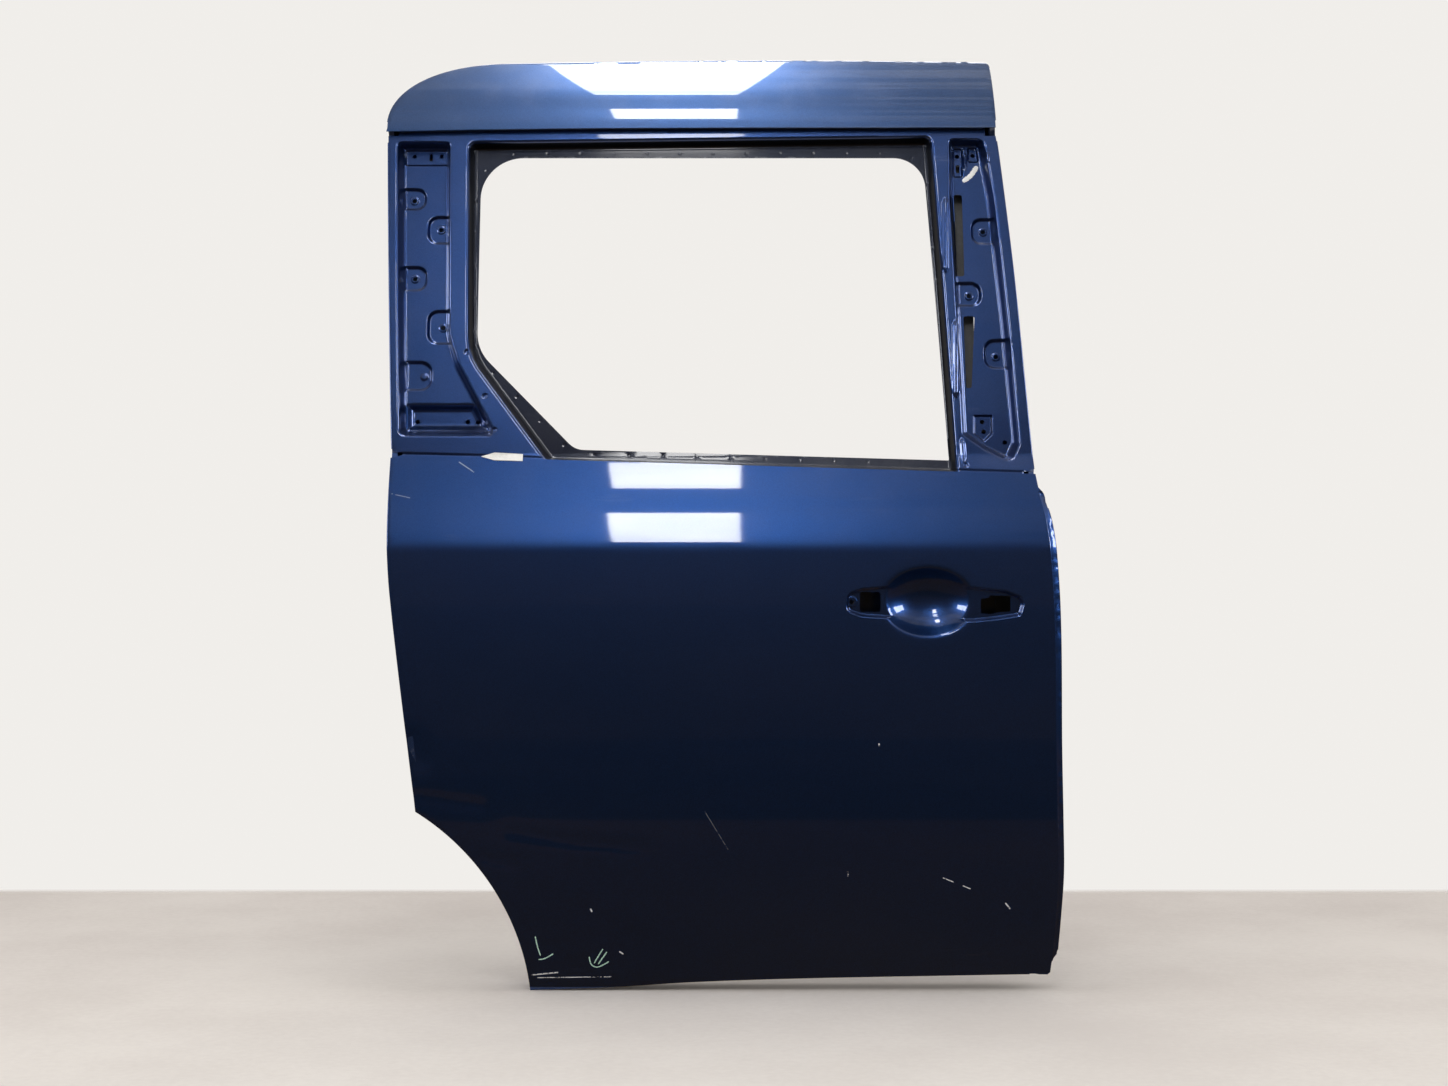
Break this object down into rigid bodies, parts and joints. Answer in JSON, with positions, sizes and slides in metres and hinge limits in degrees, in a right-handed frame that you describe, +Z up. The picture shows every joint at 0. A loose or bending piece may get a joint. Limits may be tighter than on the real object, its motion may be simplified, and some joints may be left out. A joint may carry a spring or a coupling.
{
  "type": "car door shell",
  "caption": "Bare sheet-metal sliding side door for a compact van: skin, framed window opening, trim wells in both pillars, handle recess and inner panel.",
  "frame": {"origin": "on the inside face of the inner panel, in the middle of the pad where the centre roller arm bolts on, halfway up the rear edge", "axes": "+X towards the front of the vehicle, +Y square to the door from the street side into the vehicle, +Z up"},
  "size_m": [0.9371, 0.2107, 1.3068],
  "materials": {
    "skin_paint": "glossy dark blue metallic, scuffed",
    "frame_paint": "glossy dark blue metallic",
    "inner_paint": "thin dark blue base coat, semi-gloss",
    "primer": "grey electrocoat, satin",
    "beam_primer": "dark grey electrocoat, satin",
    "zinc": "zinc-plated, dull",
    "sealer": "brushed seam sealer, matt",
    "mastic": "matt",
    "deadener": "matt bitumen sheet"
  },
  "bodies": {
    "root": {"outer_skin": "skin_paint", "header_panel": "frame_paint", "window_frame": "frame_paint", "inner_panel": "inner_paint", "belt_sealer_strip": "sealer", "belt_reinforcement_outer": "primer", "belt_reinforcement_inner": "primer", "skin_stiffener": "primer", "handle_reinforcement": "primer", "header_reinforcement": "primer", "front_pillar_reinforcement": "primer", "rear_pillar_reinforcement": "primer", "side_impact_beam": "beam_primer", "beam_bracket_front": "beam_primer", "beam_bracket_rear": "beam_primer", "mastic_pad_1": "mastic", "mastic_pad_2": "mastic", "mastic_pad_3": "mastic", "mastic_pad_4": "mastic", "mastic_pad_5": "mastic", "sound_deadener": "deadener", "centre_carriage_reinforcement": "primer", "upper_arm_reinforcement": "primer", "lower_arm_reinforcement": "primer", "front_lock_reinforcement": "primer", "rear_lock_reinforcement": "primer", "centre_carriage_nut_1": "zinc", "centre_carriage_nut_2": "zinc", "centre_carriage_nut_3": "zinc", "upper_arm_nut_1": "zinc", "upper_arm_nut_2": "zinc", "upper_arm_nut_3": "zinc", "lower_arm_nut_1": "zinc", "lower_arm_nut_2": "zinc", "lower_arm_nut_3": "zinc", "front_lock_nut_1": "zinc", "front_lock_nut_2": "zinc", "front_lock_nut_3": "zinc", "rear_lock_nut_1": "zinc", "rear_lock_nut_2": "zinc", "rear_lock_nut_3": "zinc"}
  },
  "joints": []
}
